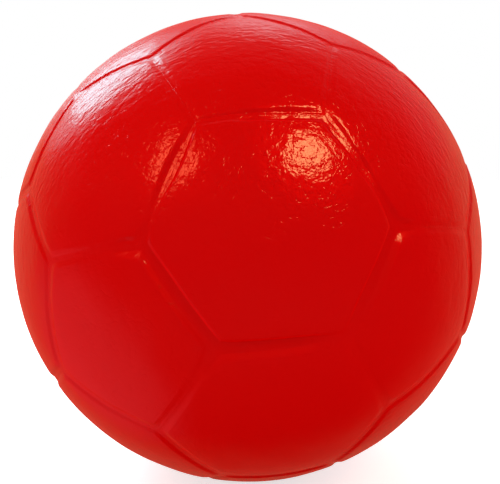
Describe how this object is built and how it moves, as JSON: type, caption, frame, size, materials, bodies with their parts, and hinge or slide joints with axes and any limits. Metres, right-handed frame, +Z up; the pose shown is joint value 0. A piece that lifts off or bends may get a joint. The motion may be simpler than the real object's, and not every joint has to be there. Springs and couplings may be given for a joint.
{
  "type": "foam football",
  "caption": "Soft round play ball: a moulded foam core with a panelled football relief under one seamless glossy elastomer skin, for indoor ball games.",
  "frame": {"origin": "centre of the ball", "axes": "+Z up through the ball's centre, the front panel of the picture faces -Y, +X to the viewer's right"},
  "size_m": [0.1998, 0.1998, 0.2],
  "materials": {
    "foam": "soft cream polyurethane foam with fine open cells, matte",
    "skin": "glossy red polyurethane elastomer coat with fine leathery wrinkles"
  },
  "bodies": {
    "root": {"foam_core": "foam", "skin": "skin"}
  },
  "joints": []
}
